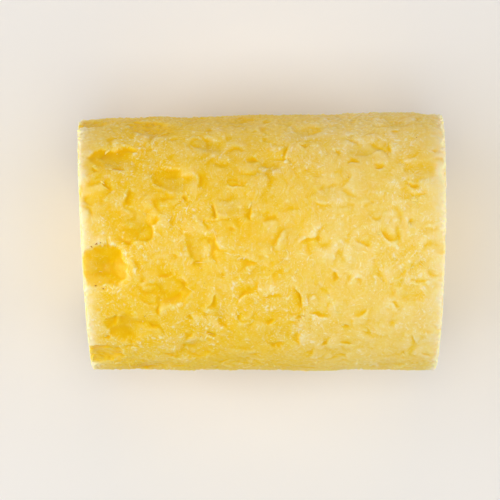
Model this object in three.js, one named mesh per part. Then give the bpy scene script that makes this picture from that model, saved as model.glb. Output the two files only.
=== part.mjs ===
// A peeled pineapple lying on its side: one solid barrel of flesh, with its shell cut away all round
// and both ends sliced off. Millimetres, +X along the fruit, +Z up, resting on Z = 0.
//
// A pineapple is a spiral of fruitlets. Each one sits a golden angle further round and a small step
// further along than the one before, and its eye leaves a hollow in the peeled side.

import * as THREE from "three";
import { mergeVertices } from "three/addons/utils/BufferGeometryUtils.js";

// The barrel
const LENGTH = 131.2; // between the middles of the two cut ends
const LEFT_RADIUS = 46.8;
const RIGHT_RADIUS = 48.0;
const STRAIGHT_SIDE_Y = -47.4; // the side of the barrel that runs true, so the taper is all on the other
const SAG = 2.0; // how much of the soft underside is pressed flat
const RIM_ROUND = 3.2; // rounding of the soft rim where the side meets a cut end

// The cuts across the ends aren't quite square to the fruit. Each slope is mm along X for a mm of Y or Z.
const LEFT_CUT = { slopeY: -0.054, slopeZ: 0.018 };
const RIGHT_CUT = { slopeY: 0.024, slopeZ: -0.005 };
const CORE_RADIUS = 14.0; // the tough core shows in both cut ends
const CORE_DISH = 0.5; // and shrinks back a little from the cut

// The spiral of fruitlets
const GOLDEN_ANGLE = Math.PI * (3 - Math.sqrt(5));
const STEP_ALONG = 1.6;
const FIRST_FRUITLET = { along: -56.5, turn: THREE.MathUtils.degToRad(-10) };
const FRUITLETS_BEFORE = 7; // fruitlets to the left of the first one
const FRUITLETS_AFTER = 77;
const HOLLOW_RADIUS = 8.0;
const HOLLOW_DEPTH = { least: 0.3, ripe: 0.9, uneven: 0.5 };
const SCOOP = { radius: 10.5, depth: 3.2 }; // the first fruitlet's eye came away whole, and left a pocket
const WAVE = { depth: 0.45, long: 43, turns: 3 }; // the slow unevenness of a hand-held peel

// The mesh
const COLUMNS = 96;
const ROWS = 36;
const RIM_ROWS = 3;
const END_RINGS = [0.8, 0.55, 0.42]; // as shares of the rim's radius, outside the core

const smooth = (t) => t * t * (3 - 2 * t);
const bump = (distance, radius) => smooth(Math.max(0, 1 - distance / radius));
const unevenness = (k) => Math.abs((Math.sin(k * 12.9898) * 43758.5453) % 1);
const halfLength = LENGTH / 2;

function fruitlets() {
  const found = [];
  for (let k = -FRUITLETS_BEFORE; k < FRUITLETS_AFTER; k++) {
    const along = FIRST_FRUITLET.along + k * STEP_ALONG;
    const turn = FIRST_FRUITLET.turn + k * GOLDEN_ANGLE;
    const ripeness = THREE.MathUtils.clamp(0.5 - along / LENGTH, 0, 1); // riper towards the left end
    const depth =
      HOLLOW_DEPTH.least +
      HOLLOW_DEPTH.ripe * ripeness +
      HOLLOW_DEPTH.uneven * unevenness(k);
    found.push(
      k === 0
        ? { along, turn, ...SCOOP }
        : { along, turn, radius: HOLLOW_RADIUS, depth },
    );
  }
  return found;
}

const FRUITLETS = fruitlets();

// How far the barrel's middle line and radius have changed at a place along it, from 0 left to 1 right.
function barrelAt(share) {
  const radius = THREE.MathUtils.lerp(LEFT_RADIUS, RIGHT_RADIUS, share);
  return { radius, y: STRAIGHT_SIDE_Y + radius, z: radius - SAG };
}

// The depth that the fruitlets' hollows and the slow waves take off the side. turn is 0 at the top.
function relief(along, turn) {
  let depth =
    WAVE.depth *
    (1 + Math.sin((2 * Math.PI * along) / WAVE.long + WAVE.turns * turn)) *
    0.5;
  const around = (LEFT_RADIUS + RIGHT_RADIUS) / 2;
  for (const f of FRUITLETS) {
    const turned = Math.atan2(Math.sin(turn - f.turn), Math.cos(turn - f.turn));
    const distance = Math.hypot(along - f.along, turned * around);
    depth += f.depth * bump(distance, f.radius);
  }
  return depth;
}

// A point on the side: share runs from the left cut (0) to the right cut (1), and inset is how far
// the rounded rim has drawn the side in.
function sidePoint(share, turn, inset) {
  const { radius, y, z } = barrelAt(share);
  const level = halfLength * (2 * share - 1);
  const r = radius - inset - relief(level, turn);
  const py = y + r * Math.sin(turn);
  const pz = z + r * Math.cos(turn);
  const skew =
    (1 - share) * (LEFT_CUT.slopeY * py + LEFT_CUT.slopeZ * (pz - z)) +
    share * (RIGHT_CUT.slopeY * py + RIGHT_CUT.slopeZ * (pz - z));
  return new THREE.Vector3(level + skew, py, Math.max(0, pz));
}

// Rows along the side: a few close together round each rim, and even ones between.
function sideRows() {
  const rim = RIM_ROUND / LENGTH;
  const rows = [];
  for (let i = 0; i < RIM_ROWS; i++) {
    const a = (Math.PI / 2) * (i / RIM_ROWS);
    rows.push({
      share: rim * (1 - Math.cos(a)),
      inset: RIM_ROUND * (1 - Math.sin(a)),
    });
  }
  const otherEnd = rows.map((r) => ({ ...r, share: 1 - r.share })).reverse();
  for (let i = 0; i <= ROWS; i++)
    rows.push({ share: THREE.MathUtils.lerp(rim, 1 - rim, i / ROWS), inset: 0 });
  return [...rows, ...otherEnd];
}

// The rings of one cut end, from just inside the rim to the edge of the core.
function endRings(share, rimRing) {
  const { y, z } = barrelAt(share);
  const cut = share === 0 ? LEFT_CUT : RIGHT_CUT;
  const outwards = share === 0 ? -1 : 1;
  const onCut = (py, pz, dish) =>
    new THREE.Vector3(
      outwards * (halfLength - dish) + cut.slopeY * py + cut.slopeZ * (pz - z),
      py,
      pz,
    );
  const rings = END_RINGS.map((s) =>
    rimRing.map((p) => onCut(y + (p.y - y) * s, z + (p.z - z) * s, 0)),
  );
  const core = rimRing.map((_, i) => {
    const turn = (2 * Math.PI * i) / COLUMNS;
    return onCut(
      y + CORE_RADIUS * Math.sin(turn),
      z + CORE_RADIUS * Math.cos(turn),
      CORE_DISH / 2,
    );
  });
  return { rings: [...rings, core], middle: onCut(y, z, CORE_DISH) };
}

function fleshGeometry() {
  const side = sideRows().map(({ share, inset }) =>
    Array.from({ length: COLUMNS }, (_, i) =>
      sidePoint(share, (2 * Math.PI * i) / COLUMNS, inset),
    ),
  );
  const left = endRings(0, side[0]);
  const right = endRings(1, side[side.length - 1]);
  const loops = [...left.rings.slice().reverse(), ...side, ...right.rings];
  const points = [...loops.flat(), left.middle, right.middle];
  const leftMiddle = points.length - 2;
  const rightMiddle = points.length - 1;
  const lastLoop = (loops.length - 1) * COLUMNS;
  const faces = [];
  for (let i = 0; i < COLUMNS; i++) {
    const next = (i + 1) % COLUMNS;
    for (let loop = 0; loop < loops.length - 1; loop++) {
      const a = loop * COLUMNS;
      const b = a + COLUMNS;
      faces.push(a + i, b + next, a + next);
      faces.push(a + i, b + i, b + next);
    }
    faces.push(leftMiddle, i, next);
    faces.push(rightMiddle, lastLoop + next, lastLoop + i);
  }
  const geometry = new THREE.BufferGeometry().setFromPoints(points);
  geometry.setIndex(faces);
  const merged = mergeVertices(geometry, 1e-4);
  merged.computeVertexNormals();
  return merged;
}

// The origin is under the middle of the fruit's box, on the surface that it lies on.
function centredOnItsBase(geometry) {
  geometry.computeBoundingBox();
  const middle = geometry.boundingBox.getCenter(new THREE.Vector3());
  return geometry.translate(-middle.x, -middle.y, -geometry.boundingBox.min.z);
}

const flesh = new THREE.Mesh(
  centredOnItsBase(fleshGeometry()),
  new THREE.MeshStandardMaterial({
    color: "#f3ce58",
    roughness: 0.5,
    metalness: 0,
  }),
);
flesh.name = "pineapple_flesh";

const pineapple = new THREE.Group();
pineapple.add(flesh);

export default pineapple;
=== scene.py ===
# %% [markdown]
# # A peeled pineapple
#
# The real thing is one piece of soft, wet fruit: the shell has been cut away all round and both
# ends sliced off, which leaves a barrel 131 mm long and 96 mm across. Nothing on it is flat or
# smooth. A spiral of fruitlets shows as golden hollows, each fruitlet's seed chambers show as
# curved slits, and between them the flesh swells in small pale pillows.
#
# It could be carved by hand in Sculpt Mode. Here it is worked out with numpy instead, as a surface
# of two parameters: how far along the fruit, and how far round it. A formula can be read, changed
# and run again.

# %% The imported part, and the box that it fills
import math
from collections import namedtuple

import bpy
import numpy as np
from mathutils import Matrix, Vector


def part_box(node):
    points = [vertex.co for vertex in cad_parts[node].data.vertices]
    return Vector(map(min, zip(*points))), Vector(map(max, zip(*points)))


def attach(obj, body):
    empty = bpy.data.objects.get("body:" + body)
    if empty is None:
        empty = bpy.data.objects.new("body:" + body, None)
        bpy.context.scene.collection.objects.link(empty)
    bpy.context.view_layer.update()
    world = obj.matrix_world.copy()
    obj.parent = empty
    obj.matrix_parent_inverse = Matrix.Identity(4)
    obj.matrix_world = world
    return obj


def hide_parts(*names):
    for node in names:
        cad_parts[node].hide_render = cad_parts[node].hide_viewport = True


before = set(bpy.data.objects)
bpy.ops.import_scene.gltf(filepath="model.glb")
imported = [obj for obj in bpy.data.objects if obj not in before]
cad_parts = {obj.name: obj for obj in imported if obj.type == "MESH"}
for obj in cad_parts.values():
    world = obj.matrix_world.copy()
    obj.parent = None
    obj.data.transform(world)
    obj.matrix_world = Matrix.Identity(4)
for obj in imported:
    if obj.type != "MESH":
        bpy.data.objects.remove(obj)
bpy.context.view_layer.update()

MM = 0.001  # metres in a millimetre
flesh_low, flesh_high = (np.array(corner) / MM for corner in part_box("pineapple_flesh"))
print("solid flesh, mm:", np.round(flesh_high - flesh_low, 1))

# %% [markdown]
# ## The barrel
#
# These are the sizes that the solid was made with, in millimetres, apart from a crisper rim. The
# fine surface starts from the same barrel, so that it lies within a millimetre or two of the solid
# that it stands for. A turn is an angle round the fruit from its top, and a heading is an angle on
# the unrolled side from the way along. Both are in radians unless a name says degrees.

# %% Sizes of the barrel
LENGTH = 131.2
LEFT_RADIUS = 46.8
RIGHT_RADIUS = 48.0
STRAIGHT_SIDE_Y = -47.4
SAG = 2.0
RIM_ROUND = 3.2  # rounding of the solid's rim
RIM_CRISP = 1.1  # and of the fine surface's, which crumbles instead
LEFT_CUT = (-0.054, 0.018)  # slope of the cut, mm along the fruit for a mm of Y or of Z
RIGHT_CUT = (0.024, -0.005)
CORE_RADIUS = 14.0
CORE_DISH = 0.5
AROUND = (LEFT_RADIUS + RIGHT_RADIUS) / 2  # turns an angle round the fruit into mm
MIDDLE_Y = STRAIGHT_SIDE_Y + AROUND  # the barrel's middle line, halfway along
MIDDLE_Z = AROUND - SAG

GOLDEN_ANGLE = math.pi * (3 - math.sqrt(5))
STEP_ALONG = 1.6
FIRST_ALONG = -56.5
FIRST_TURN = math.radians(-10)
FRUITLETS = np.arange(-7, 77)
HOLLOW_RADIUS = 8.0
HOLLOW_DEPTH = 0.3  # depth of the shallowest hollow
HOLLOW_RIPE = 0.9  # what full ripeness adds to it
HOLLOW_UNEVEN = 0.5  # and what chance adds
POCKET_RADIUS = 10.5  # the first fruitlet's eye came away whole and left a pocket
POCKET_DEPTH = 3.2
WAVE_DEPTH = 0.45  # the slow unevenness of a hand-held peel
WAVE_LONG = 43
WAVE_TURNS = 3


# %% [markdown]
# ## Random numbers that stay put
#
# The unevenness below comes from noise: a smooth field of random numbers in space. Read in three
# dimensions, it has no seam where the barrel closes and no pinch at the middles of the ends.
# Blender has such noise for one point at a time. These versions take whole arrays of points, which
# is hundreds of times quicker. Each reading has a seed of its own, the last number in its
# brackets, so that no two rise and fall together.

# %% Smooth noise and cell noise
def random_at(corner, seed):
    """A fixed random number, 0 to 1, for each whole-number corner: each axis times a large odd
    number, mixed, then folded on itself and multiplied twice over."""
    h = corner[..., 0] * np.uint32(73856093)
    h ^= corner[..., 1] * np.uint32(19349663)
    h ^= corner[..., 2] * np.uint32(83492791)
    h ^= np.uint32(seed * 2654435761 % 2**32)
    for _ in range(2):
        h ^= h >> np.uint32(15)
        h *= np.uint32(2246822519)
    h ^= h >> np.uint32(13)
    return h.astype(np.float32) * np.float32(2**-32)


def split(points, size):
    """Cell corner and place within the cell, for points measured in cells of a size. The points
    are turned first, so that the cells line up with nothing on the fruit."""
    tilt = np.array([[0.60, 0.48, 0.64], [-0.80, 0.36, 0.48], [0.0, -0.80, 0.60]], np.float32)
    q = (points @ tilt) / np.float32(size)
    low = np.floor(q)
    return low.astype(np.int32).astype(np.uint32), q - low


def mist(points, size, seed):
    """Smooth noise, -1 to 1: the random numbers at a cell's eight corners, mixed by an S-curve
    of the place within the cell."""
    corner, f = split(points, size)
    f = f * f * (3 - 2 * f)
    total = np.zeros(points.shape[:-1], np.float32)
    for i in range(8):
        step = np.array([i & 1, i >> 1 & 1, i >> 2 & 1], np.uint32)
        total += np.prod(np.where(step == 1, f, 1 - f), axis=-1) * random_at(corner + step, seed)
    return total * 2 - 1


def pushed(points, size, far, seed):
    """The points, each moved up to a distance by three slow noises, one for each axis."""
    return points + far * np.stack([mist(points, size, seed + axis) for axis in range(3)], axis=-1)


def cells(points, size, seed):
    """Cell noise: every cell of space holds one scattered dot. Gives the distance to the nearest
    dot, and how much further the second nearest is."""
    corner, f = split(points, size)
    near = np.full(points.shape[:-1], 9.0, np.float32)
    second = near.copy()
    for i in range(27):
        step = np.array([i % 3, i // 3 % 3, i // 9], np.int32) - 1
        cell = corner + step.astype(np.uint32)
        dot = [random_at(cell, seed + axis) + step[axis] - f[..., axis] for axis in range(3)]
        far = np.sqrt(dot[0] ** 2 + dot[1] ** 2 + dot[2] ** 2)
        second = np.where(far < near, near, np.minimum(second, far))
        near = np.minimum(near, far)
    return near, second - near


def ease(value, low, high):
    """0 below low, 1 above high, and an S-curve between."""
    t = np.clip((value - low) / (high - low), 0, 1)
    return t * t * (3 - 2 * t)


def bell(value):
    """1 at 0, falling away on both sides in a bell curve."""
    return np.exp(-(value**2))


# %% [markdown]
# ## The barrel as a formula
#
# A cylinder tapered with Simple Deform would come close to the peeled barrel. A formula also says
# where any point of it is, which everything below needs. A point is named by its share of the way
# along, its turn round the axis and its ring, which is 1 on the side and falls to 0 at the middle
# of a cut end. Each cut leans, and its lean fades out towards the other end.

# %% The barrel
def barrel(share, turn, inset, ring):
    """Points of the smooth barrel. The radius and the middle line change evenly with the share,
    and both cuts' lean is added along X."""
    radius = LEFT_RADIUS + (RIGHT_RADIUS - LEFT_RADIUS) * share
    reach = (radius - inset) * ring
    y = STRAIGHT_SIDE_Y + radius + reach * np.sin(turn)
    up = reach * np.cos(turn)
    lean = (1 - share) * (LEFT_CUT[0] * y + LEFT_CUT[1] * up)
    lean = lean + share * (RIGHT_CUT[0] * y + RIGHT_CUT[1] * up)
    return np.stack([LENGTH * (share - 0.5) + lean, y, radius - SAG + up], axis=-1)


def round_difference(turn, other):
    """The way from one turn to another round the fruit, in mm, the short way."""
    return ((turn - other + math.pi) % (2 * math.pi) - math.pi) * AROUND


def unevenness(k):
    """A fruitlet's own random number, 0 to 1, from the digits of a large sine."""
    return np.abs(np.fmod(np.sin(k * 12.9898) * 43758.5453, 1))


def hollows(along, turn):
    """Depth that the fruitlets take off the side: a soft bowl for each, in a golden-angle spiral,
    and three slow waves left by the knife."""
    depth = WAVE_DEPTH / 2 * (1 + np.sin(2 * math.pi * along / WAVE_LONG + WAVE_TURNS * turn))
    for k in FRUITLETS:
        centre = FIRST_ALONG + k * STEP_ALONG
        ripe = min(max(0.5 - centre / LENGTH, 0), 1)
        deep = HOLLOW_DEPTH + HOLLOW_RIPE * ripe + HOLLOW_UNEVEN * unevenness(k)
        radius = HOLLOW_RADIUS
        if k == 0:
            deep, radius = POCKET_DEPTH, POCKET_RADIUS
        across = round_difference(turn, FIRST_TURN + k * GOLDEN_ANGLE)
        far = np.hypot(along - centre, across)
        depth = depth + deep * ease(1 - far / radius, 0, 1)
    return depth


# %% [markdown]
# The solid was centred on its own box. The same centring is found here from the barrel and its
# hollows, so that the fine surface falls in the same place.

# %% Where the barrel stands in the frame
def plain_box():
    """Lowest and highest corner of the barrel with its hollows, before it is centred."""
    share = np.linspace(0, 1, 200)[:, None]
    turn = np.linspace(0, 2 * math.pi, 361)[None, :]
    from_cut = np.minimum(1, np.minimum(share, 1 - share) * LENGTH / RIM_ROUND)
    inset = RIM_ROUND * (1 - np.sqrt(1 - (1 - from_cut) ** 2))
    inset = inset + hollows(LENGTH * (share - 0.5), turn)
    points = barrel(share, turn, inset, 1.0).reshape(-1, 3)
    return points.min(axis=0), points.max(axis=0)


plain_low, plain_high = plain_box()
CENTRING = (flesh_low + flesh_high) / 2 - (plain_low + plain_high) / 2
CENTRING[2] = 0
print("barrel less solid, mm:", np.round((plain_high - plain_low) - (flesh_high - flesh_low), 2))

# %% [markdown]
# ## Where the fruitlets are
#
# A pineapple grows its fruitlets in a spiral. Each is a golden angle further round than the last,
# and a small step further along, and nearly everything on this fruit follows them: the golden
# patches, the slits, and what the knife tore loose beside them. They could be put down one at a
# time by hand. A rule with a little chance in it keeps the order that a real fruit has, and covers
# the back and the underside just as well.

# %% Places of the fruitlets
def fruitlet(k):
    """A fruitlet's place: mm along the fruit, and its turn, from minus half a turn to half a turn."""
    turn = (FIRST_TURN + k * GOLDEN_ANGLE + math.pi) % (2 * math.pi) - math.pi
    return FIRST_ALONG + k * STEP_ALONG, turn


def ripeness(along):
    """1 where the fruit is all golden, at its left end, falling to 0 just short of the middle."""
    return 1 - ease(along, -52.0, -6.0)


def softness(along):
    """1 at the left end, where soft ripe flesh tears under the knife, falling to 0 at the right,
    where firmer flesh is cut cleanly."""
    return 1 - ease(along, -50.0, 30.0)


def stepped(along, turn, reach, heading):
    """The place that lies a distance in mm away, in the direction of a heading."""
    return along + reach * math.cos(heading), turn + reach * math.sin(heading) / AROUND


def near_to(mark, reach, along, turn):
    """Which points lie within reach of a patch or line, and how far along and across its heading
    those points are, in mm."""
    du = along - mark.along
    dv = round_difference(turn, mark.turn)
    near = np.hypot(du, dv) < reach
    cos, sin = math.cos(mark.heading), math.sin(mark.heading)
    return near, du[near] * cos + dv[near] * sin, dv[near] * cos - du[near] * sin


# %% [markdown]
# ## Golden patches
#
# Where a fruitlet's eye was cut out, the knife broke into looser, wetter flesh. It is golden and clear
# and lies lower than what is round it. One side ends at a crisp little cliff, where paler flesh
# overhangs in scallops, and the other side fades away. Towards the cliff a patch lies deeper and its
# gold is stronger, which is painted shade from the cliff. The riper the fruit, the larger and stronger
# the patch. Vertex paint could colour them, but each also needs its hollow, so they are ovals in the
# formula.

# %% Golden patches
Patch = namedtuple("Patch", "along turn long wide heading cliff crisp strength")
PATCH_DEPTH = 0.75
UNRIPE_SHARE = 0.5  # share of the unripe fruitlets that show no gold
BROKEN_THROUGH = 1.8  # mm that the first patch reaches over towards the cut
CUT_THROUGH = 4.0  # what lies nearer to a rim than this, in mm, was cut through


def golden_patches(chance):
    """One patch for each ripe fruitlet and for about half of the unripe ones. The first fruitlet came
    away whole, so its patch fills the pocket that it left and its cliff faces along the fruit."""
    found = []
    for k in FRUITLETS:
        along, turn = fruitlet(k)
        ripe = ripeness(along)
        shift = chance.normal(0, 1.3, 2)
        size = chance.random(3)
        heading = chance.normal(0, 0.35)
        cliff = chance.uniform(-math.pi, math.pi)
        if k == 0:
            found.append(Patch(along - BROKEN_THROUGH, turn, long=0.89 * POCKET_RADIUS,
                               wide=0.76 * POCKET_RADIUS, heading=0, cliff=0, crisp=0.85, strength=1.0))
        elif ripe > 0.1 or size[2] > UNRIPE_SHARE:
            long = 4.5 + 5.0 * ripe + 1.5 * size[0]
            wide = 3.0 + 3.4 * ripe + 1.2 * size[1]
            strength = 0.22 + 0.66 * ripe + 0.14 * size[2]
            if abs(along) > LENGTH / 2 - CUT_THROUGH:
                strength = 0.5 * strength
            found.append(Patch(along + shift[0], turn + shift[1] / AROUND, long, wide, heading,
                               cliff, 0.5 * size[0], strength))
    return found


PATCHES = golden_patches(np.random.default_rng(21))
print("golden patches:", len(PATCHES))


def patch_fields(along, turn, points):
    """How golden the patches are, and how clear of torn flesh: an oval distance, roughened by
    noise and scalloped by cells, is eased over a short way on the cliff's side and a long way on
    the other."""
    gold = np.zeros_like(along)
    clear = np.zeros_like(along)
    lobe = cells(pushed(points, 4.0, 1.4, 13), 3.4, 14)[0]
    ragged = 0.20 * mist(points, 5.0, 11) + 0.30 * (0.5 - lobe)
    for patch in PATCHES:
        near, u, v = near_to(patch, 2.0 * max(patch.long, patch.wide), along, turn)
        u = u / patch.long
        v = v / patch.wide
        toward = u * math.cos(patch.cliff) + v * math.sin(patch.cliff)
        far = np.hypot(u, v)
        soft = 0.85 - 0.70 * np.maximum(patch.crisp, ease(toward / np.maximum(far, 0.3), 0.0, 0.8))
        inside = patch.strength * ease(1.0 + 0.3 * soft - far - ragged[near], 0, soft)
        # Painted shade: towards the cliff the gold is made stronger, standing in for the cliff's
        # shadow; the same share also sinks the patch deeper there.
        deepened_and_shaded_by_cliff = 0.60 + 0.40 * ease(toward, -0.7, 0.6)
        gold[near] = np.maximum(gold[near], inside * deepened_and_shaded_by_cliff)
        clear[near] = np.maximum(clear[near], inside * patch.crisp)
    return gold, clear


# %% [markdown]
# ## Slits
#
# Each fruitlet had three seed chambers, and the knife opened them as short curved slits, wider at one
# end, steep on one side with a pale and slightly raised lip, and fading into a soft valley on the
# other. The lip's paleness is partly paler flesh and partly a painted highlight, and the golden tone
# deep in a slit and along its valley is painted shade. The Crease brush could carve them one by one.
# Here a rule puts three round each fruitlet and a small pit beyond them, all over the fruit at once.
# Chance decides how far each has strayed and how long it is, and only a few are deep.

# %% Slits
Line = namedtuple("Line", "along turn long heading bend twist wide strong side")
CHAMBERS = 3
CHAMBER_REACH = 7.0  # mm from the fruitlet's place to the middle of a slit
PIT_REACH = 10.5
LINE_REACH = 6.0  # mm past a line's ends within which it's felt


def opened_slits(chance):
    """Slits that lie across the way out from their fruitlet, and one pit for each fruitlet."""
    found = []
    for k in FRUITLETS:
        along, turn = fruitlet(k)
        first = chance.uniform(0, 2 * math.pi)
        for i in range(CHAMBERS + 1):
            pit = i == CHAMBERS
            way = first + 2 * math.pi * (i + 0.5 * pit) / CHAMBERS
            reach = (PIT_REACH if pit else CHAMBER_REACH) + chance.normal(0, 1.4)
            size = chance.random(3)
            centre, centre_turn = stepped(along, turn, reach, way)
            long = 1.8 + 1.6 * size[0] if pit else 3.0 + 6.5 * size[0] ** 1.3
            heading = way + math.pi / 2 + chance.normal(0, 0.55)
            bend = chance.normal(0, 0.9)
            twist = chance.normal(0, 0.5)
            wide = 0.58 + 0.56 * size[1]
            deep = 0.60 + 1.55 * size[2] ** 1.8
            side = 1 if chance.random() < 0.5 else -1
            from_pocket = math.hypot(centre - FIRST_ALONG, round_difference(centre_turn, FIRST_TURN))
            in_pocket = k == 0 or from_pocket < 0.8 * POCKET_RADIUS
            if abs(centre) < LENGTH / 2 - CUT_THROUGH and not in_pocket:
                found.append(Line(centre, centre_turn, long, heading, bend, twist, wide, deep, side))
    return found


SLITS = opened_slits(np.random.default_rng(33))
print("slits:", len(SLITS))


def bent_lines(along, turn, wobble, lines):
    """Gives each line with the points near it, their way along it from -1 to 1, and their distance
    across it in mm. The distance is measured from a parabola with a cubic's twist."""
    for line in lines:
        near, u, v = near_to(line, line.long / 2 + LINE_REACH, along, turn)
        v = v + wobble[near]
        v = v - line.bend / line.long * (u * u - line.long**2 / 12) / 2
        t = 2 * u / line.long
        v = v - line.twist * np.clip(t * t * t - t, -1, 1)
        yield line, near, t, v * line.side


def slit_fields(along, turn, points):
    """Depth, valley and lip of the slits: the wall is steep on one side, a raised lip follows that
    side, and a valley lies along the other. Each slit is wider at one end."""
    depth = np.zeros_like(along)
    valley = np.zeros_like(along)
    lip = np.zeros_like(along)
    wobble = 0.50 * mist(points, 3.0, 21) + 0.20 * mist(points, 1.2, 22)
    for slit, near, t, v in bent_lines(along, turn, wobble, SLITS):
        v = v / (slit.wide * (1 + 0.40 * np.clip(t, -1, 1)))
        taper = np.clip(1 - t * t, 0, 1)
        steep = np.where(v < 0, 2.0, 0.85)
        depth[near] = np.maximum(depth[near], slit.strong * taper * bell(v * steep))
        wall = np.clip(1.25 - t * t, 0, 1)
        soft = np.where(v < 0, 2.0, 0.28)
        valley[near] = np.maximum(valley[near], slit.strong**0.5 * wall * bell(v * soft))
        lip[near] = np.maximum(lip[near], slit.strong * wall * bell((v + 1.3) / 0.8))
    return depth, valley, lip


# %% [markdown]
# ## Pillows
#
# Between the slits the flesh lies in soft pillows, five to ten millimetres long and less than half as
# wide. Each has a pale rounded top, partly paler flesh and partly a painted highlight, and along one
# side a golden valley where it parts from the next, which is painted shade. Cell noise gives pillows
# too, but all of them round and of a size, like curds. So these are bent lines as the slits are, nine
# scattered round each fruitlet.

# %% Pillows
PILLOWS = 9  # for each fruitlet
PILLOW_REACH = 9.0


def soft_pillows(chance):
    """Pillows at random distances out from their fruitlet, lying any way."""
    found = []
    for k in FRUITLETS:
        along, turn = fruitlet(k)
        for _ in range(PILLOWS):
            way = chance.uniform(-math.pi, math.pi)
            reach = PILLOW_REACH * chance.random() ** 0.5
            size = chance.random(3)
            heading = chance.uniform(0, math.pi)
            bend = chance.normal(0, 2.3)
            twist = chance.normal(0, 0.4)
            side = chance.choice([-1, 1])
            long = 4.5 + 5.5 * size[0]
            wide = 1.2 + 1.2 * size[1]
            high = 0.40 + 0.60 * size[2]
            place = stepped(along, turn, reach, way)
            found.append(Line(*place, long, heading, bend, twist, wide, high, side))
    return found


SOFT_PILLOWS = soft_pillows(np.random.default_rng(55))
print("pillows:", len(SOFT_PILLOWS))


def pillow_fields(along, turn, points):
    """Tops and valleys of the pillows. A top is a parabola along and a lopsided bell across, steep
    towards its valley, which is a narrow bell beside it. Each pillow covers those before it."""
    top = np.zeros_like(along)
    valley = np.zeros_like(along)
    wobble = 0.9 * mist(points, 3.4, 23) + 0.3 * mist(points, 1.5, 24)
    for pillow, near, t, v in bent_lines(along, turn, wobble, SOFT_PILLOWS):
        v = v / pillow.wide
        taper = np.clip(1 - t * t, 0, 1)
        dome = taper**0.7 * bell(v * np.where(v > 0, 1.3, 0.7))
        beside = taper * bell((v - 1.20) / 0.42)
        covered = np.clip(1.5 * dome, 0, 1)
        top[near] = top[near] * (1 - covered) + pillow.strong * dome
        valley[near] = np.maximum(valley[near] * (1 - covered), pillow.strong * beside)
    return top, valley


# %% [markdown]
# ## Folds and lumps
#
# Under the slits and pillows the flesh swells in uneven folds and lumps, two to six millimetres across,
# with golden creases here and there. The gold in the creases is painted shade, and the paler lump tops
# are partly paler flesh and partly painted highlight. Plain noise would swell evenly, like dough. This
# is noise read at points that other noise has pushed about, which stretches it into folds of which no
# two are alike.

# %% Folds and lumps
def crumbs(points):
    """Small round crumbs, from -1 between them to 1 on their tops: the middles of fine cells."""
    return 2 * ease(0.62 - cells(points, 1.5, 96)[0], 0.0, 0.45) - 1


def fold_fields(points):
    """Height of the folds in mm, how deep in a crease each point is, how high on a lump, and how
    loosely the flesh is torn. Soft rolls are bent cells, with a groove where two meet."""
    stirred = pushed(points, 8.0, 3.0, 31)
    big = mist(stirred, 6.0, 41)
    push = 1.1 * mist(stirred, 3.0, 44)[..., None] * np.float32([0.8, 0.6, 0.4])
    lump = mist(stirred + push, 3.0, 44)
    small = mist(pushed(points, 2.5, 1.0, 51), 1.5, 61)
    loose = ease(mist(points, 12.0, 71), -0.5, 0.5)
    gap = cells(pushed(points, 6.0, 2.6, 35), 6.4, 49)[1]
    groove = (1 - ease(gap, 0.0, 0.42)) * ease(mist(points, 8.0, 79), -0.3, 0.3)
    # The creases and grooves later deepen the tone: painted shade.
    crease = bell(mist(stirred, 5.0, 74) / 0.10) * ease(mist(points, 5.0, 77), 0.0, 0.5)
    height = 0.24 * big + (0.07 + 0.14 * loose) * lump + 0.06 * small - 0.12 * crease - 0.28 * groove
    # Pale lump tops: partly paler flesh and partly a painted highlight.
    pale = ease(lump + 0.6 * big + 0.2 * small, 0.1, 1.0) * (0.30 + 0.45 * loose)
    return height, np.maximum(crease, 0.9 * groove**2), pale, loose


# %% [markdown]
# ## The cut ends
#
# A cut end shows the inside of the fruit: a tougher, paler core, fibres that run out from it, and
# the fruitlets as wedges between thin walls. A Wave texture could draw rays, but they wouldn't know
# the fruitlets. Here the wedges come from the same spiral, by taking the fruitlets nearest to the
# cut, so that they meet the hollows on the side.

# %% The cut ends
def end_fields(share, turn, reach, points):
    """Height, tone and wetness of a cut end, from the turn and the distance out in mm. A wall
    stands where the two nearest fruitlets are equally near."""
    along = LENGTH * (share - 0.5)
    nearest = np.full(turn.shape, 99.0)
    second = nearest.copy()
    for k in FRUITLETS:
        off = abs(FIRST_ALONG + k * STEP_ALONG - along)
        way = np.abs(round_difference(turn, FIRST_TURN + k * GOLDEN_ANGLE)) + 0.9 * off
        second = np.where(way < nearest, nearest, np.minimum(second, way))
        nearest = np.minimum(nearest, way)
    fan = np.stack([turn * 30, reach * 0.16, along], axis=-1).astype(np.float32)
    streak = mist(fan, 1.1, 81) + 0.6 * mist(fan, 0.5, 82)
    wall = bell((second - nearest) * reach / AROUND / 1.1) * ease(reach, 15, 22)
    uneven_reach = reach + 1.0 * mist(points, 6.0, 83) + 0.4 * streak
    core = 1 - ease(uneven_reach, CORE_RADIUS - 1.6, CORE_RADIUS + 1.4)
    ring = bell((reach - CORE_RADIUS - 0.8) / 0.9)
    # The outer ring of a cut end is made paler: partly paler flesh, and partly a painted glow of light
    # through the thin edge.
    rim_pale_and_glow = ease(reach, 37, 46)
    wet = ease(reach, 24, 40) * ease(mist(points, 9.0, 84), -0.3, 0.6) * (1 - rim_pale_and_glow)
    height = 0.10 * streak * (1 - 0.6 * core) - 0.18 * wall - 0.25 * ring - CORE_DISH * core
    height = height - 0.5 * wet * ease(mist(points, 3.5, 85), 0.1, 0.6) + 0.12 * mist(points, 2.0, 86)
    tone = 0.44 + 0.22 * wet - 0.24 * core - 0.10 * wall + 0.15 * ring - 0.12 * streak
    return height, tone - 0.40 * rim_pale_and_glow, 0.4 * wet


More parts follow.
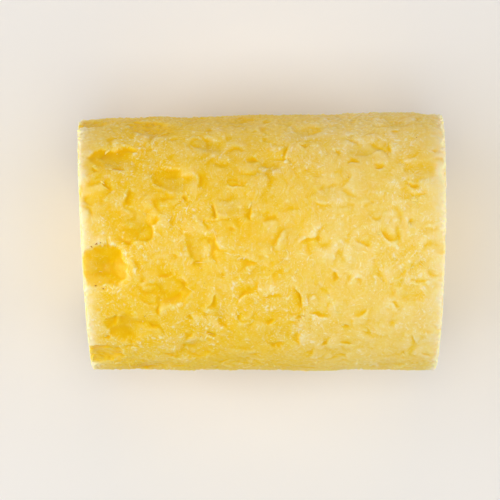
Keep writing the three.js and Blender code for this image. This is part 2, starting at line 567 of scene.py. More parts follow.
# %% [markdown]
# ## Relief and tone of the side
#
# Patches, slits, pillows and folds are added up into one height. They could be four displacement
# textures, but then the colour wouldn't know about them. Here each also adds its share to the tone, the
# number that says how golden the flesh is, so that colour and shape agree everywhere. Much of that
# share is painted light: a deeper tone in creases, slits and hollows is painted shade, and paler tops
# of lumps and pillows are partly painted highlight.

# %% Relief of the side
SLIT_DEPTH = 0.26  # mm that each part of the relief takes off or adds at full strength
VALLEY_DEPTH = 0.13
LIP_HEIGHT = 0.10
PILLOW_HEIGHT = 0.46
PILLOW_VALLEY = 0.43
STREAK_HEIGHT = 0.16
LOW_SIDE = (0.7, 1.3)  # turns between which the side grows calmer and crumblier, going down


def side_relief(along, turn, smooth):
    """Height of the side's relief in mm, and the strength of each thing that it is made of. The
    patches have clear flesh with hardly a lump, and fibres show in it as low streaks."""
    gold, clear = patch_fields(along, turn, smooth)
    slit, valley, lip = slit_fields(along, turn, smooth)
    fold, crease, lump, loose = fold_fields(smooth)
    top, beside = pillow_fields(along, turn, smooth)
    fold = 0.5 * fold + PILLOW_HEIGHT * top - PILLOW_VALLEY * beside - 0.16
    # The pillows' valleys join the creases as painted shade, and their tops join the lumps as partly
    # painted highlight.
    crease = np.maximum(0.8 * crease, 2.4 * beside)
    lump = np.maximum(0.35 * lump, 1.10 * top)
    low_side = ease(np.abs(round_difference(turn, 0.0)) / AROUND, *LOW_SIDE)
    calm = (1 - 0.45 * low_side) * (0.80 + 0.22 * softness(along))
    lump = lump * (1 - 0.8 * clear)
    fold = fold * (1 - 0.3 * gold - 0.4 * clear)
    streak = mist(pushed(smooth, 6.0, 2.0, 97) * np.float32([0.35, 1, 1]), 1.9, 98) * gold
    height = calm * (fold - SLIT_DEPTH * slit - VALLEY_DEPTH * valley + LIP_HEIGHT * lip)
    height = height - PATCH_DEPTH * gold + STREAK_HEIGHT * streak
    height = height + 0.18 * low_side * mist(smooth, 1.8, 95) + 0.20 * low_side * (1 + crumbs(smooth))
    made_of = {"gold": gold, "slit": calm * slit, "valley": calm * valley, "lip": lip,
               "crease": calm * crease, "lump": calm * lump, "loose": loose, "calm": calm,
               "streak": streak}
    return height, made_of


# %% Tone of the side
def hollowness(height, rounds=40):
    """How far each point of the grid lies below its surroundings, in mm: the height is averaged
    with its four neighbours again and again, and the height itself is taken off."""
    around = height
    for _ in range(rounds):
        sides = np.roll(around, 1, 0) + np.roll(around, -1, 0)
        sides = sides + np.roll(around, 1, 1) + np.roll(around, -1, 1)
        around = (2 * around + sides) / 6
    return around - height


def side_tone(along, turn, smooth, rim, sunk, made_of):
    """How golden the side is. It starts from a base that is deeper towards the ripe end. It is painted
    a little paler on the flank towards +Y, as a painted sheen of light, and a little deeper on the
    other, as painted warm shade. Creases, slits and hollows add to it as painted shade. Lumps and lips
    take away, partly as paler flesh and partly as painted highlight. The rim takes away too, partly as
    paler cut flesh and partly as a painted glow of light through the thin edge. In the patches a deeper
    tone takes the base's place, and it is deeper still in hollows as painted shade."""
    gold = np.clip(0.9 * made_of["gold"], 0, 1)
    tone = 0.415 + 0.205 * (1 - ease(along, -14, 34)) + 0.15 * made_of["crease"]
    tone = tone - 0.16 * made_of["lump"] + 0.07 * mist(smooth, 9.0, 92)
    # Painted light: the flank towards +Y is painted paler as a sheen, and the flank towards -Y deeper
    # as warm shade.
    tone = tone - 0.06 * ease(np.sin(turn), 0.5, 1.0) + 0.05 * ease(-np.sin(turn), 0.4, 0.9)
    tone = tone - rim * (1 - 0.7 * gold) - 0.08 * np.clip(made_of["lip"], 0, 1) + 0.45 * sunk
    tone = tone + (0.94 + 0.40 * sunk - 0.34 * made_of["lump"] - tone) * gold
    tone = tone - 0.16 * made_of["streak"]
    # Painted shade: slits and their valleys deepen the tone by their strength.
    return tone + 0.26 * np.clip(made_of["slit"], 0, 1.5) + 0.09 * made_of["valley"]


# %% [markdown]
# ## All of the surface in one function
#
# Everything meets here. The result is a place for each pair of parameters, and three numbers for
# the material: the tone, how wet the flesh is, and how strong its grain is.

# %% The whole surface
WORN_ROUND = 0.8  # the soft rim is worn down by this in mm, fading away over WORN_REACH
WORN_REACH = 3.5


def worn(along):
    """How much the side is worn down near a cut, in mm: by the same share less for each mm away."""
    return WORN_ROUND * np.exp((np.abs(along) - LENGTH / 2) / WORN_REACH)


def flesh(share, turn, inset, ring, tip):
    """Points in mm and the material's fields. The barrel with its hollows is moved out along its
    own direction, which tips from sideways on the side to endways on a cut (tip, 0 to 1)."""
    share, turn, inset, ring, tip = np.broadcast_arrays(share, turn, inset, ring, tip)
    along = LENGTH * (share - 0.5)
    smooth = barrel(share, turn, inset, ring).astype(np.float32)
    cut = ease(tip, 0.55, 1.0)
    from_rim = np.maximum(0, LENGTH / 2 - np.abs(along) + 1.2 * mist(smooth, 6.0, 91)) + 9 * cut
    height, made_of = side_relief(along, turn, smooth)
    frayed = 0.45 * mist(smooth, 2.4, 93) + 0.30 * crumbs(smooth)
    height = height + frayed * np.exp(-from_rim / 1.6)
    reach = np.hypot(smooth[..., 1] - MIDDLE_Y, smooth[..., 2] - MIDDLE_Z)
    end_height, end_tone, end_wet = end_fields(share, turn, reach, smooth)
    height = height * (1 - cut) + end_height * cut
    a = tip * math.pi / 2
    outwards = np.where(share < 0.5, -1.0, 1.0) * np.sin(a)
    direction = np.stack([outwards, np.cos(a) * np.sin(turn), np.cos(a) * np.cos(turn)], axis=-1)
    inset = inset + (hollows(along, turn) + worn(along)) * ring
    points = barrel(share, turn, inset, ring) + direction * height[..., None]
    points[..., 2] = np.maximum(points[..., 2], 0)

    # The side is made paler near each cut: partly paler cut flesh, and partly a painted glow of light
    # through the thin edge.
    rim = (0.62 + 0.26 * softness(along)) * np.exp(-from_rim / (2.4 + 0.7 * softness(along)))
    # Painted shade: the tone is deepened wherever the surface lies below its surroundings, on the side
    # and on the cut ends.
    sunk = np.clip(hollowness(height), -0.35, 0.5)
    tone = side_tone(along, turn, smooth, rim, sunk, made_of)
    grain = (0.65 + 0.60 * made_of["loose"]) * (1 - 0.45 * made_of["gold"]) * made_of["calm"]
    grain = grain * (0.86 + 0.24 * softness(along))
    grain = grain * (0.30 + 0.70 * ease(from_rim, 1.0, 9.0))
    fields = {
        "tone": tone * (1 - cut) + (end_tone + 0.3 * sunk) * cut,
        "wet": np.clip(made_of["gold"] + 0.5 * made_of["slit"], 0, 1) * (1 - cut) + end_wet * cut,
        "grain": grain * (1 - cut) + 0.6 * cut,
    }
    return points + CENTRING, fields


def on_side(along, turn, lift):
    """Points on the finished side, lifted off it by some mm."""
    share = along / LENGTH + 0.5
    smooth = barrel(share, turn, 0.0, 1.0).astype(np.float32)
    height = side_relief(along, turn, smooth)[0] + lift
    points = barrel(share, turn, hollows(along, turn) + worn(along) - height, 1.0)
    points[..., 2] = np.maximum(points[..., 2], 0.05)
    return points + CENTRING


# %% [markdown]
# ## The grid
#
# The surface is read on a grid of rows along the fruit and columns round it. A subdivided cylinder
# would spend as many points on the hidden underside as on the top. Here the rows are even along the
# side, closer round each soft rim, and rings on the ends, and the columns stand further apart
# underneath. A single point closes each end, so the mesh has no hole anywhere.

# %% Rows of the grid
RING_GAP = 2.2  # rings of an end are this many steps apart
RIM_SPREAD = 2.8  # mm of evenly spaced rows that are drawn together round each rim


def grid_rows(step):
    """Share, inset, ring and tip of each row: rings of a cut end, a quarter circle round the rim,
    the side, and the same again in mirror order."""
    rim = RIM_CRISP / LENGTH
    rings = np.linspace(0, 1, int(AROUND / (RING_GAP * step)))[1:-1]
    turns = np.linspace(0, math.pi / 2, int(RIM_SPREAD / step) + 2)[:-1]
    side = np.linspace(rim, 1 - rim, int(LENGTH / step))
    share = np.concatenate([0 * rings, rim * (1 - np.cos(turns)), side])
    inset = np.concatenate([0 * rings + RIM_CRISP, RIM_CRISP * (1 - np.sin(turns)), 0 * side])
    ring = np.concatenate([rings, 0 * turns + 1, 0 * side + 1])
    tip = np.concatenate([0 * rings + 1, 1 - turns / (math.pi / 2), 0 * side])
    ends = len(rings) + len(turns)
    whole = []
    for values, mirrored in ((share, 1 - share), (inset, inset), (ring, ring), (tip, tip)):
        whole.append(np.concatenate([values, mirrored[:ends][::-1]])[:, None])
    return whole


def grid_columns(step):
    """Turns of the columns: even over the top, and gradually further apart underneath."""
    turn = np.linspace(-math.pi, math.pi, 4001)
    crowd = 0.45 + 0.55 * ease(np.cos(turn), -0.6, 0.2)
    travelled = np.concatenate([[0], np.cumsum((crowd[1:] + crowd[:-1]) / 2 * np.diff(turn))])
    columns = int(travelled[-1] * AROUND / step)
    return np.interp(np.arange(columns) / columns * travelled[-1], travelled, turn)


# %% The grid as a mesh
def flesh_mesh(name, step):
    """A closed mesh of the surface: quads between the rows, and a fan of triangles at each end.
    Their corners run so that every face looks outwards."""
    share, inset, ring, tip = grid_rows(step)
    turn = grid_columns(step)[None, :]
    columns = turn.shape[1]
    points, fields = flesh(share, turn, inset, ring, tip)
    rows = len(share)
    count = rows * columns
    middles = np.stack([points[0].mean(axis=0), points[-1].mean(axis=0)])
    middles[:, 0] = [points[0, :, 0].min(), points[-1, :, 0].max()]

    i = np.arange(rows - 1)[:, None] * columns
    j = np.arange(columns)[None, :]
    after = (j + 1) % columns
    quads = np.stack([i + j, i + columns + j, i + columns + after, i + after], -1).reshape(-1, 4)
    j = j[0]
    after = after[0]
    left = np.stack([j * 0 + count, j, after], -1)
    last = count - columns
    right = np.stack([j * 0 + count + 1, last + after, last + j], -1)
    corners = np.concatenate([quads.ravel(), left.ravel(), right.ravel()])
    sizes = np.concatenate([np.full(len(quads), 4), np.full(2 * columns, 3)])

    mesh = bpy.data.meshes.new(name)
    mesh.vertices.add(count + 2)
    mesh.vertices.foreach_set("co", (np.concatenate([points.reshape(-1, 3), middles]) * MM).ravel())
    mesh.loops.add(len(corners))
    mesh.loops.foreach_set("vertex_index", corners.astype(np.int32))
    mesh.polygons.add(len(sizes))
    mesh.polygons.foreach_set("loop_start", np.cumsum(sizes) - sizes)
    for field, values in fields.items():
        whole = np.concatenate([values.ravel(), [values[0].mean(), values[-1].mean()]])
        layer = mesh.attributes.new(field, "FLOAT", "POINT")
        layer.data.foreach_set("value", np.clip(whole, 0, 1.3).astype(np.float32))
    mesh.update(calc_edges=True)
    mesh.validate()
    return mesh


# %% [markdown]
# ## Fewer triangles where they aren't needed
#
# A slit needs points less than half a millimetre apart, and the rest of the skin doesn't. So the
# grid is made fine all over, and a Decimate modifier then joins the triangles that lie nearly flat.
# It is applied at once, because the maps below are laid over the mesh that remains.

# %% The flesh, made and thinned
GRID_STEP = 0.4
MOST_TRIANGLES = 190000


def linked(name, data):
    """A new object that shows the data, put in the scene."""
    made = bpy.data.objects.new(name, data)
    bpy.context.scene.collection.objects.link(made)
    return made


def apply_modifiers(piece):
    """Turn the piece's modifiers into its own mesh."""
    seen = bpy.context.evaluated_depsgraph_get()
    finished = bpy.data.meshes.new_from_object(piece.evaluated_get(seen))
    finished.name = piece.name
    piece.modifiers.clear()
    piece.data = finished


flesh_skin = linked("flesh_skin", flesh_mesh("flesh_skin", GRID_STEP))
dense = sum(len(face.vertices) - 2 for face in flesh_skin.data.polygons)
thin = flesh_skin.modifiers.new("thin", "DECIMATE")
thin.ratio = min(1.0, MOST_TRIANGLES / dense)
thin.use_collapse_triangulate = True
apply_modifiers(flesh_skin)
flesh_skin.data.shade_smooth()
print("flesh triangles:", dense, "thinned to", len(flesh_skin.data.polygons))

# %% [markdown]
# ## Two maps
#
# A UV map lays the skin out flat. The first map is for saving the finish as pictures: the side is
# a rectangle and each end a disc, none on top of another. The second follows the fibres, along the
# side and outwards on the ends, so that a pattern can be drawn out along them.

# %% Maps of the skin
DISC_SPAN = 290  # mm of a cut end that would fill the first map from side to side
FIBRE_SPAN = 100  # and mm of fibre that fill the second
END_ZONE = 9  # mm from a cut's middle within which a face can belong to the cut


def lay_out(mesh):
    """Fill both maps from the points' places: turn and length on the side, Y and Z on the ends. On
    the first map the side fills the left part and the ends are discs at the right. A face that
    crosses the seam keeps its corners together on one side of the map."""
    count = len(mesh.loops)
    place = np.empty(len(mesh.vertices) * 3, np.float32)
    mesh.vertices.foreach_get("co", place)
    place = place.reshape(-1, 3) / MM - CENTRING
    corner = np.empty(count, np.int32)
    mesh.loops.foreach_get("vertex_index", corner)
    facing = np.empty(len(mesh.polygons) * 3, np.float32)
    mesh.polygons.foreach_get("normal", facing)
    facing = np.repeat(facing.reshape(-1, 3), 3, axis=0)
    x, y, z = (place[corner] - [0, MIDDLE_Y, MIDDLE_Z]).T
    at_end = (np.abs(x) > LENGTH / 2 - END_ZONE) & (np.abs(facing[:, 0]) > 0.8)
    at_end = np.repeat(at_end.reshape(-1, 3).all(axis=1), 3)
    turn = np.arctan2(y, z).reshape(-1, 3)
    on_seam = np.ptp(turn, axis=1) > math.pi
    turn = np.where(on_seam[:, None] & (turn < 0), turn + 2 * math.pi, turn).ravel()
    across = 0.01 + 0.62 * (turn / math.pi + 1) / 2.02
    upward = 0.02 + 0.96 * (x / LENGTH + 0.55) / 1.1
    disc_middle = np.where(x > 0, 0.74, 0.26)
    bake = np.stack([np.where(at_end, 0.82 + y / DISC_SPAN, across),
                     np.where(at_end, disc_middle + z / DISC_SPAN, upward)], -1)
    fibre = np.stack([np.where(at_end, np.hypot(y, z), x), turn * AROUND], -1)
    for name, values in (("OFBake", bake), ("fibres", fibre / FIBRE_SPAN)):
        layer = mesh.uv_layers.new(name=name)
        layer.data.foreach_set("uv", values.astype(np.float32).ravel())


lay_out(flesh_skin.data)
print("maps:", [layer.name for layer in flesh_skin.data.uv_layers])

# %% [markdown]
# ## Tools for the finishes
#
# A finish in Blender is a graph of nodes. It could be joined up by hand in the Shader Editor. Small
# helpers do it here and keep the cells below short: one adds a node and joins what goes into it,
# one starts a material, and one starts a node group, which is a piece of graph that several
# materials can use.

# %% Helpers for nodes
def colour(red, green, blue):
    """A colour given as 0 to 255, as the straight light values that Blender mixes."""
    v = np.array([red, green, blue]) / 255
    v = np.where(v <= 0.04045, v / 12.92, ((v + 0.055) / 1.055) ** 2.4)
    return (*(float(part) for part in v), 1.0)


def fill(tree, node, inputs):
    """Join each input to another node's socket, or set it to a value, and hand back the outputs."""
    for name, value in inputs.items():
        if isinstance(value, bpy.types.NodeSocket):
            tree.links.new(value, node.inputs[name])
        else:
            node.inputs[name].default_value = value
    return node.outputs


def put(tree, kind, inputs, **settings):
    """Add a node, set what is asked, fill its inputs, and hand back its outputs."""
    node = tree.nodes.new("ShaderNode" + kind)
    for name, value in settings.items():
        setattr(node, name, value)
    return fill(tree, node, inputs)


def math_node(tree, operation, first, second):
    """One sum of two values."""
    return put(tree, "Math", {0: first, 1: second}, operation=operation)[0]


def mapped(tree, value, low, high, to_low=0.0, to_high=1.0):
    """A value eased from one range to another, and kept inside it."""
    inputs = {"Value": value, "From Min": low, "From Max": high, "To Min": to_low, "To Max": to_high}
    return put(tree, "MapRange", inputs, interpolation_type="SMOOTHSTEP")[0]


def new_material(name):
    """An empty material with its output and Principled shader joined."""
    material = bpy.data.materials.new(name)
    material.use_nodes = True
    tree = material.node_tree
    tree.nodes.clear()
    shader = tree.nodes.new("ShaderNodeBsdfPrincipled")
    put(tree, "OutputMaterial", {"Surface": shader.outputs[0]})
    return material, tree, shader


def new_group(name, inputs, outputs):
    """A node group with named sockets, and the nodes that stand for its two sides."""
    group = bpy.data.node_groups.new(name, "ShaderNodeTree")
    for socket, kind, value in inputs:
        made = group.interface.new_socket(socket, in_out="INPUT", socket_type=kind)
        if value is not None:
            made.default_value = value
    for socket in outputs:
        group.interface.new_socket(socket, in_out="OUTPUT", socket_type="NodeSocketFloat")
    return group, group.nodes.new("NodeGroupInput").outputs, group.nodes.new("NodeGroupOutput")


def use_group(tree, group, inputs):
    """Place a group in a material and fill its inputs."""
    return put(tree, "Group", inputs, node_tree=group)


# %% [markdown]
# ## Grain of the pulp
#
# Cut pulp is full of the ends of tiny fibres, which show as soft pale dots from a third of a
# millimetre to a whole one across, with wetter, more golden flesh between. A Voronoi texture
# scatters the dots, slower noise bends it first so that they aren't all round, and each dot's own
# random colour decides whether it shows. Fine noise breaks them up.

# %% The grain, as a node group
DOTS = ((0.0008, 0.35), (0.0014, 0.50), (0.0024, 0.66))  # cell in metres, luck above which one shows
FINE_GRAIN = 0.0009  # metres across a swell of the speckle


def bent(tree, vector, scale, far):
    """A vector moved up to a distance by slow noise, and that noise."""
    slow = put(tree, "TexNoise", {"Vector": vector, "Scale": scale, "Detail": 1.0})
    push = put(tree, "VectorMath", {0: slow["Color"], 1: (0.5, 0.5, 0.5)}, operation="SUBTRACT")[0]
    push = put(tree, "VectorMath", {0: push, "Scale": far}, operation="SCALE")[0]
    return put(tree, "VectorMath", {0: vector, 1: push}, operation="ADD")[0], slow["Fac"]


def grain_group():
    """Dots: near a scattered point and lucky, in three sizes. Speckle: fine noise. Height: both."""
    wanted = [("Vector", "NodeSocketVector", None), ("Size", "NodeSocketFloat", 1.0)]
    group, given, gives = new_group("pulp_grain", wanted, ["Dots", "Speckle", "Height"])
    place = put(group, "VectorMath", {0: given["Vector"], "Scale": given["Size"]}, operation="SCALE")[0]
    stirred, _ = bent(group, place, 600.0, 0.0022)
    total = None
    for cell, luck in DOTS:
        dots = put(group, "TexVoronoi", {"Vector": stirred, "Scale": 1 / cell}, feature="F1")
        close = mapped(group, dots["Distance"], 0.48, 0.08)
        chosen = put(group, "SeparateColor", {0: dots["Color"]})[0]
        seen = math_node(group, "MULTIPLY", close, mapped(group, chosen, luck, 1.0))
        total = seen if total is None else math_node(group, "MAXIMUM", total, seen)
    inputs = {"Vector": place, "Scale": 1 / FINE_GRAIN, "Detail": 3.0, "Roughness": 0.65}
    speckle = math_node(group, "SUBTRACT", put(group, "TexNoise", inputs)["Fac"], 0.5)
    height = math_node(group, "ADD", speckle, math_node(group, "MULTIPLY", total, 0.5))
    fill(group, gives, {"Dots": total, "Speckle": speckle, "Height": height})
    return group


# %% [markdown]
# ## Flow of the pulp
#
# Torn pulp lies in soft folds a couple of millimetres wide, and on them run short pale strands, a
# few millimetres long and half a millimetre wide. Both are noise drawn out along the map of the
# fibres, mostly round the fruit, the way that the knife went. Slower noise bends the map first, so
# that the grain curls. The strands are two sets that cross, and each shows where the other doesn't.

# %% The flow, as a node group
def flow_group():
    """Folds: bent noise, a little longer than wide. Strands: the brightest of finer bent noise,
    four times as long as wide, round the fruit in most places and along it in the others."""
    group, given, gives = new_group("pulp_flow", [("Vector", "NodeSocketVector", None)],
                                    ["Folds", "Strands"])
    curled, slow = bent(group, given["Vector"], 12.0, 0.10)
    part = put(group, "SeparateXYZ", {0: curled})
    line = put(group, "CombineXYZ", {0: part[0], 1: math_node(group, "MULTIPLY", part[1], 0.48)})[0]
    inputs = {"Vector": line, "Scale": 40.0, "Detail": 2.0, "Roughness": 0.5, "Distortion": 0.8}
    folds = put(group, "TexNoise", inputs)["Fac"]
    found = []
    for long, short in ((0, 1), (1, 0)):
        drawn = math_node(group, "MULTIPLY", part[long], 0.22)
        line = put(group, "CombineXYZ", {0: drawn, 1: part[short]})[0]
        inputs = {"Vector": line, "Scale": 155.0, "Detail": 1.0, "Roughness": 0.5}
        found.append(mapped(group, put(group, "TexNoise", inputs)["Fac"], 0.57, 0.76))
    choice = mapped(group, slow, 0.36, 0.46)
    strands = put(group, "Mix", {0: choice, 2: found[0], 3: found[1]})[0]
    fill(group, gives, {"Folds": math_node(group, "SUBTRACT", folds, 0.5), "Strands": strands})
    return group


PULP_GRAIN = grain_group()
PULP_FLOW = flow_group()

# %% [markdown]
# ## The finish of the flesh
#
# All of the flesh's colours lie on one line, from the cream of a torn fibre to the amber deep in a
# slit, where it is painted shade. So the material adds up one number, the tone, and a Color Ramp turns
# it into a colour. The mesh carries the slow part of the tone, with painted shade in its hollows and
# partly painted highlight on its lumps. The grain and streaks add the fine part, with painted shade in
# the troughs of the folds.
# Light sinks into the flesh and comes out again nearby, red the furthest and blue the least. That
# is subsurface scattering, and without it the fruit would look like painted clay.

# %% Flesh material
TONES = (
    (0.00, colour(254, 235, 190)), (0.20, colour(252, 226, 156)), (0.40, colour(250, 217, 116)),
    (0.60, colour(249, 209, 72)), (0.80, colour(248, 202, 15)), (1.00, colour(246, 195, 0)),
)
# The folds' share deepens the tone where the bump makes the folds lowest: painted shade in their
# troughs.
PATTERN = (-0.52, 0.84, 0.50, -0.42)  # what the dots, speckle, folds and strands add to the tone
WET_IOR = 1.35  # how far juice bends light, a little more than water does


def flesh_material():
    """The tone from the mesh, less the pale dots and streaks, through the ramp."""
    material, tree, shader = new_material("pineapple_flesh")
    place = put(tree, "TexCoord", {})["Object"]
    fibres = put(tree, "UVMap", {}, uv_map="fibres")[0]
    grain = use_group(tree, PULP_GRAIN, {"Vector": place, "Size": 1.0})
    flow = use_group(tree, PULP_FLOW, {"Vector": fibres})
    pattern = None
    parts = (grain["Dots"], grain["Speckle"], flow["Folds"], flow["Strands"])
    for part, amount in zip(parts, PATTERN):
        share = math_node(tree, "MULTIPLY", part, amount)
        pattern = share if pattern is None else math_node(tree, "ADD", pattern, share)
    strength = put(tree, "Attribute", {}, attribute_name="grain")["Fac"]
    tone = put(tree, "Attribute", {}, attribute_name="tone")["Fac"]
    tone = math_node(tree, "ADD", tone, math_node(tree, "MULTIPLY", pattern, strength))
    ramp = tree.nodes.new("ShaderNodeValToRGB")
    stops = ramp.color_ramp.elements
    for place_on_line, value in TONES[1:-1]:
        stops.new(place_on_line).color = value
    stops[0].color = TONES[0][1]
    stops[-1].color = TONES[-1][1]
    wet = put(tree, "Attribute", {}, attribute_name="wet")["Fac"]
    height = math_node(tree, "MULTIPLY", math_node(tree, "ADD", grain["Height"], flow["Strands"]), 0.3)
    height = math_node(tree, "SUBTRACT", height, flow["Folds"])
    bump = put(tree, "Bump", {"Height": height, "Strength": 0.5, "Distance": 0.0002})[0]
    fill(tree, shader, {
        "Base Color": fill(tree, ramp, {0: tone})[0],
        "Roughness": mapped(tree, wet, 0.0, 1.0, 0.52, 0.30),
        "Normal": bump,
        "IOR": WET_IOR,
        "Specular IOR Level": 0.3,
        "Subsurface Weight": 1.0,
        "Subsurface Radius": (1.0, 0.82, 0.22),
        "Subsurface Scale": 0.0019,
    })
    return material


flesh_skin.data.materials.clear()
flesh_skin.data.materials.append(flesh_material())
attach(flesh_skin, "root")
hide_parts("pineapple_flesh")

# %% [markdown]
# ## Torn fibres, flecks and specks
#
# The knife tears a few fibres loose. They lie on the flesh as pale threads up to a third of a
# millimetre thick, with crumbs of pale pith between them, and here and there a brown speck of
# shell is left. They could be hairs from a particle system, but that is lost when the part is
# saved for other programs. So each kind is one mesh of many small closed tubes or grains.

# %% Many small tubes or grains as one mesh
RIM_CLEAR = 2.5  # mm from a cut in which nothing lies
BEDDED = 0.08  # mm by which the ends of a thread are sunk into the flesh


def rounds_mesh(name, centres, radii, sides):
    """Closed tubes: round each path goes a ring of points at every step, wide by that step's
    radius across the fruit's side and out from it, with a face over each end."""
    count, steps = radii.shape
    forward = np.gradient(centres, axis=1)
    forward /= np.linalg.norm(forward, axis=-1, keepdims=True)
    up = centres * [0, 1, 1] - [0, CENTRING[1], MIDDLE_Z]
    up /= np.linalg.norm(up, axis=-1, keepdims=True)
    across = np.cross(forward, up)
    across /= np.linalg.norm(across, axis=-1, keepdims=True)
    up = np.cross(across, forward)
    a = np.arange(sides) / sides * 2 * math.pi
    ring = across[:, :, None] * np.cos(a)[:, None] + up[:, :, None] * np.sin(a)[:, None]
    points = centres[:, :, None] + ring * radii[:, :, None, None]
    first = np.arange(count)[:, None, None] * steps * sides + np.arange(steps - 1)[:, None] * sides
    j = np.arange(sides)
    after = (j + 1) % sides
    quads = np.stack([first + j, first + sides + j, first + sides + after, first + after], -1)
    caps = np.arange(count)[:, None] * steps * sides + j
    mesh = bpy.data.meshes.new(name)
    faces = quads.reshape(-1, 4).tolist() + caps.tolist()
    faces += (caps + (steps - 1) * sides)[:, ::-1].tolist()
    mesh.from_pydata((points.reshape(-1, 3) * MM).tolist(), [], faces)
    mesh.update()
    return mesh


def small_piece(name, centres, radii, sides, material):
    """Finish the mesh, and let it ride with the fruit."""
    mesh = rounds_mesh(name, centres, radii, sides)
    mesh.materials.append(material)
    mesh.shade_smooth()
    piece = linked(name, mesh)
    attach(piece, "root")
    print(name, "count", len(radii), "faces", len(mesh.polygons))


def laid(along, degrees, long, heading, bend, lift, steps):
    """Paths on the side: each starts from its middle, runs both ways along its heading, bends
    evenly and rises by its lift in the middle. Every argument but the last is an array with a value
    for each path, and the turn, the heading and the bend are in degrees."""
    t = np.linspace(-0.5, 0.5, steps)[None, :]
    a = np.radians(heading)[:, None] + np.radians(bend)[:, None] * t
    step = long[:, None] / (steps - 1)
    du = np.cumsum(np.cos(a) * step, axis=1)
    dv = np.cumsum(np.sin(a) * step, axis=1)
    du -= du.mean(axis=1, keepdims=True)
    dv -= dv.mean(axis=1, keepdims=True)
    turn = np.radians(degrees)[:, None] + dv / AROUND
    inside = np.clip(along[:, None] + du, -LENGTH / 2 + RIM_CLEAR, LENGTH / 2 - RIM_CLEAR)
    return on_side(inside, turn, lift[:, None] * (1 - (2 * t) ** 2) - BEDDED)


# %% [markdown]
# The largest loose bits hang on at the ends of slits, where the knife caught. The others can be
# anywhere that isn't pressed on the floor. They could be dotted about by hand, but chance with a
# fixed seed spreads them fairly and gives the same ones each time.

# %% Finish and places of the small pieces
UNDERNEATH = 145.0  # degrees from the top, past which the fruit lies on its own flesh


def pale_material(name, red, green, blue):
    """One colour varied by the speckle towards a yellower one, and a trace of the grain as bump."""
    material, tree, shader = new_material(name)
    place = put(tree, "TexCoord", {})["Object"]
    grain = use_group(tree, PULP_GRAIN, {"Vector": place, "Size": 1.5})
    mix = mapped(tree, grain["Speckle"], -0.25, 0.25)
    inputs = {0: mix, 6: colour(red, green, blue), 7: colour(red - 4, green - 12, blue - 45)}
    varied = put(tree, "Mix", inputs, data_type="RGBA")[2]
    bump = put(tree, "Bump", {"Height": grain["Height"], "Strength": 0.4, "Distance": 0.0001})[0]
    fill(tree, shader, {"Base Color": varied, "Normal": bump, "Roughness": 0.4, "IOR": WET_IOR})
    return material


def scattered(chance, count):
    """Even random places over the side in mm and degrees, but not at the rims or underneath."""
    half = LENGTH / 2 - 2 * RIM_CLEAR
    return chance.uniform(-half, half, count), chance.uniform(-UNDERNEATH, UNDERNEATH, count)


def beside_slits(chance, count):
    """Random places at the ends of slits that aren't under the fruit, and the headings of those
    slits in degrees."""
    clear = [slit for slit in SLITS if math.cos(slit.turn) > math.cos(math.radians(UNDERNEATH))]
    chosen = [clear[i] for i in chance.choice(len(clear), count, replace=False)]
    end = chance.choice([-0.5, 0.5], count)
    places = [stepped(slit.along, slit.turn, e * slit.long, slit.heading)
              for slit, e in zip(chosen, end)]
    along, turn = np.array(places).T
    return along, np.degrees(turn), np.degrees([slit.heading for slit in chosen])


# %% [markdown]
# A torn fibre is a thin round thread that narrows to both ends and bends a little. Each could be a
# curve with a bevel. A hundred of them as one mesh are lighter.

# %% Threads
THICK_THREADS = 18
THIN_THREADS = 90
THREAD_STEPS = 9


def threads():
    """Thick threads torn from the slits, and thinner ones anywhere."""
    chance = np.random.default_rng(8)
    count = THICK_THREADS
    along, degrees, heading = beside_slits(chance, count)
    long = 3.5 + 4 * chance.random(count)
    heading = heading + chance.normal(0, 25, count)
    bend = chance.normal(0, 25, count)
    thick = np.stack([along, degrees, long, heading, bend, 0.2 + 0.1 * chance.random(count)])
    count = THIN_THREADS
    along, degrees = scattered(chance, count)
    long = 1.5 + 3.5 * chance.random(count) ** 2
    heading = chance.uniform(-90, 90, count)
    bend = chance.normal(0, 35, count)
    thin = np.stack([along, degrees, long, heading, bend, 0.05 + 0.15 * chance.random(count)])
    centres = laid(*np.concatenate([thick, thin], axis=1), THREAD_STEPS)
    wide = np.concatenate([np.full(THICK_THREADS, 0.15), 0.07 + 0.07 * chance.random(count)])
    radii = wide[:, None] * np.sqrt(1 - 0.92 * np.linspace(-1, 1, THREAD_STEPS) ** 2)
    small_piece("torn_fibres", centres, radii, 5, pale_material("torn_fibre", 255, 233, 146))


threads()

# %% [markdown]
# A fleck is a crumb of pale pith, and a speck is a bit of brown shell that the peeler left. Balls
# would do, but they look like sugar. So both are short fat tubes, uneven along their length and
# nearly pointed at their ends.

# %% Flecks and specks
LARGE_FLECKS = 30
SMALL_FLECKS = 240
CAUGHT_SPECKS = 6
STRAY_SPECKS = 20
POCKET_EDGE = 0.85 * POCKET_RADIUS


def crumb_piece(name, chance, paths, wide, profile, material):
    """Short tubes whose radius is their width times the profile, times a random number at each
    step of each."""
    uneven = 0.8 + 0.4 * chance.random((len(wide), len(profile)))
    radii = wide[:, None] * np.array(profile) * uneven
    small_piece(name, laid(*paths, len(profile)), radii, 6, material)


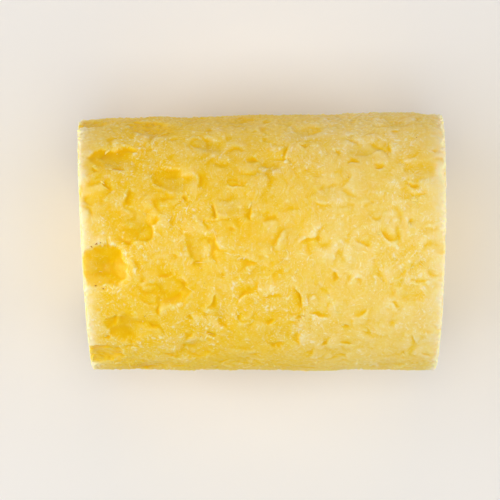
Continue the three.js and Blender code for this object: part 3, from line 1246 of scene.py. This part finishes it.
def flecks():
    """Crumbs of pith, large by the slits and small anywhere."""
    chance = np.random.default_rng(9)
    by_slit, by_degrees, by_heading = beside_slits(chance, LARGE_FLECKS)
    along, degrees = scattered(chance, SMALL_FLECKS)
    large = 1.4 + 1.6 * chance.random(LARGE_FLECKS)
    small = 0.6 + 1.2 * chance.random(SMALL_FLECKS) ** 2
    by_heading = by_heading + chance.normal(0, 30, LARGE_FLECKS)
    heading = np.concatenate([by_heading, chance.uniform(-90, 90, SMALL_FLECKS)])
    long = np.concatenate([large, small])
    total = len(long)
    paths = (np.concatenate([by_slit, along]), np.concatenate([by_degrees, degrees]), long, heading,
             chance.normal(0, 40, total), np.full(total, 0.05))
    wide = np.minimum(0.16 * long + 0.06, 0.42) * (0.7 + 0.6 * chance.random(total))
    crumb_piece("pith_flecks", chance, paths, wide, (0.25, 0.85, 1.0, 0.8, 0.2),
                pale_material("pith_fleck", 255, 234, 152))


def specks():
    """Brown specks of shell: some caught on the edge of the first fruitlet's pocket, the side
    nearer to the cut end, and a few anywhere."""
    chance = np.random.default_rng(10)
    way = chance.choice([-1, 1], CAUGHT_SPECKS) * chance.uniform(1.7, 2.3, CAUGHT_SPECKS)
    along, degrees = scattered(chance, STRAY_SPECKS)
    along = np.concatenate([FIRST_ALONG + POCKET_EDGE * np.cos(way), along])
    pocket = np.degrees(FIRST_TURN + POCKET_EDGE * np.sin(way) / AROUND)
    degrees = np.concatenate([pocket, degrees])
    caught = 0.55 + 0.35 * chance.random(CAUGHT_SPECKS)
    stray = 0.35 + 0.3 * chance.random(STRAY_SPECKS)
    size = np.concatenate([caught, stray])
    total = len(size)
    heading = chance.uniform(-90, 90, total)
    paths = (along, degrees, size, heading, np.zeros(total), np.full(total, 0.04))
    crumb_piece("shell_specks", chance, paths, 0.28 * size, (0.3, 0.9, 1.0, 0.8, 0.25),
                pale_material("shell_speck", 200, 134, 56))


flecks()
specks()

# %% [markdown]
# ## Floor, light and camera
#
# The fruit lies on a plain pale floor in a bright room. A sky picture could light it, but it would
# have to be loaded from a file. So there is a soft overhead lamp, a window at each end of the fruit
# that rakes along it and brings out its relief, and weak lamps low at its sides that warm its
# flanks. The camera looks straight down with a long lens, which hardly bends the straight sides.

# %% Floor, light and camera
WHITE = (1.0, 1.0, 1.0)
WARM = (1.0, 0.50, 0.30)
LAMPS = (  # name, place and size in metres, power in watts, colour, and spread in degrees
    ("left_window", (-1.2, -0.05, 0.5), 0.9, 12.4, WHITE, 180),
    ("right_window", (1.2, -0.05, 0.5), 0.9, 9.2, WHITE, 180),
    ("near_window", (0, -1.2, 0.9), 0.9, 0.15, WHITE, 180),
    ("overhead", (0, -0.21, 1.9), 1.3, 15.9, WHITE, 180),
    ("far_glow", (0, 0.9, 0.25), 0.3, 0.11, WARM, 60),
    ("near_glow", (0, -0.9, 0.25), 0.3, 0.05, WARM, 60),
)
LAMP_AIM = Vector((0, 0, 0.05))
SKY = {"Color": (1.0, 0.95, 0.92, 1), "Strength": 0.19}
FLOOR_FINISH = {"Base Color": colour(232, 231, 228), "Roughness": 0.9}
FLOOR_HALF = 4.0  # metres from the middle of the floor to its edge
CAMERA_PLACE = np.array([-4.36, -2.75, 1148.0])  # mm from the barrel's own origin
CAMERA_LENS = 213.3
SENSOR = 36


def floor():
    """One pale square, matt enough that it only takes shadows."""
    mesh = bpy.data.meshes.new("floor")
    h = FLOOR_HALF
    mesh.from_pydata([(-h, -h, 0), (h, -h, 0), (h, h, 0), (-h, h, 0)], [], [(0, 1, 2, 3)])
    piece = linked("floor", mesh)
    material, tree, shader = new_material("pale_floor")
    fill(tree, shader, FLOOR_FINISH)
    mesh.materials.append(material)


def area_light(name, place, size, power, tint, spread):
    """A square lamp that faces the fruit."""
    data = bpy.data.lights.new(name, "AREA")
    data.color = tint
    data.spread = math.radians(spread)
    data.shape = "SQUARE"
    data.size = size
    data.energy = power
    lamp = linked(name, data)
    lamp.location = place
    lamp.rotation_euler = (LAMP_AIM - Vector(place)).to_track_quat("-Z", "Y").to_euler()


floor()
for lamp in LAMPS:
    area_light(*lamp)

world = bpy.data.worlds.new("studio")
world.use_nodes = True
fill(world.node_tree, world.node_tree.nodes["Background"], SKY)
bpy.context.scene.world = world

lens = bpy.data.cameras.new("camera")
lens.sensor_width = SENSOR
lens.lens = CAMERA_LENS
camera = linked("camera", lens)
camera.location = (CAMERA_PLACE + CENTRING) * MM
bpy.context.scene.camera = camera
bpy.context.scene.view_settings.view_transform = "Standard"
print("lamps:", len(LAMPS), "camera, m:", [round(c, 3) for c in camera.location])
